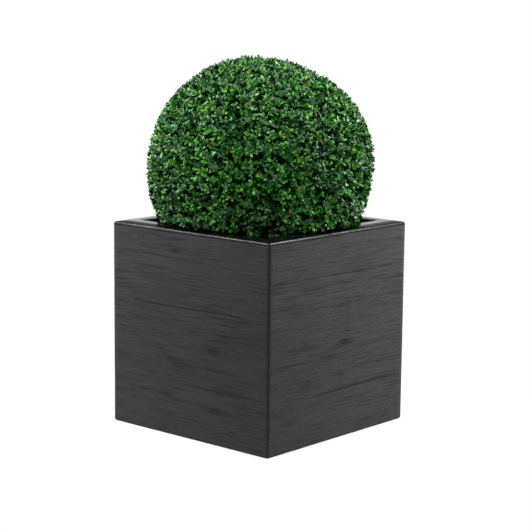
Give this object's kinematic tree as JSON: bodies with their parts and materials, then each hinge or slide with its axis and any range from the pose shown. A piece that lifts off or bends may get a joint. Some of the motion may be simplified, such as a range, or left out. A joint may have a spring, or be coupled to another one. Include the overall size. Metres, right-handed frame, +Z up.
{
  "type": "box topiary ball in a square planter",
  "caption": "Evergreen box shrub clipped to a dense ball, growing on a short stem in the compost of a square dark wood-grain planter with a folded rim.",
  "frame": {"origin": "the middle of the planter's flat underside, where it stands on the ground", "axes": "+Z up through the planter and the ball; X and Y square to the planter's sides"},
  "size_m": [0.5472, 0.5465, 0.8897],
  "materials": {
    "planter": "satin",
    "compost": "matte",
    "bark": "matte",
    "foliage": "satin"
  },
  "bodies": {
    "root": {"planter": "planter", "compost": "compost", "stem": "bark", "foliage_ball": "foliage"}
  },
  "joints": []
}
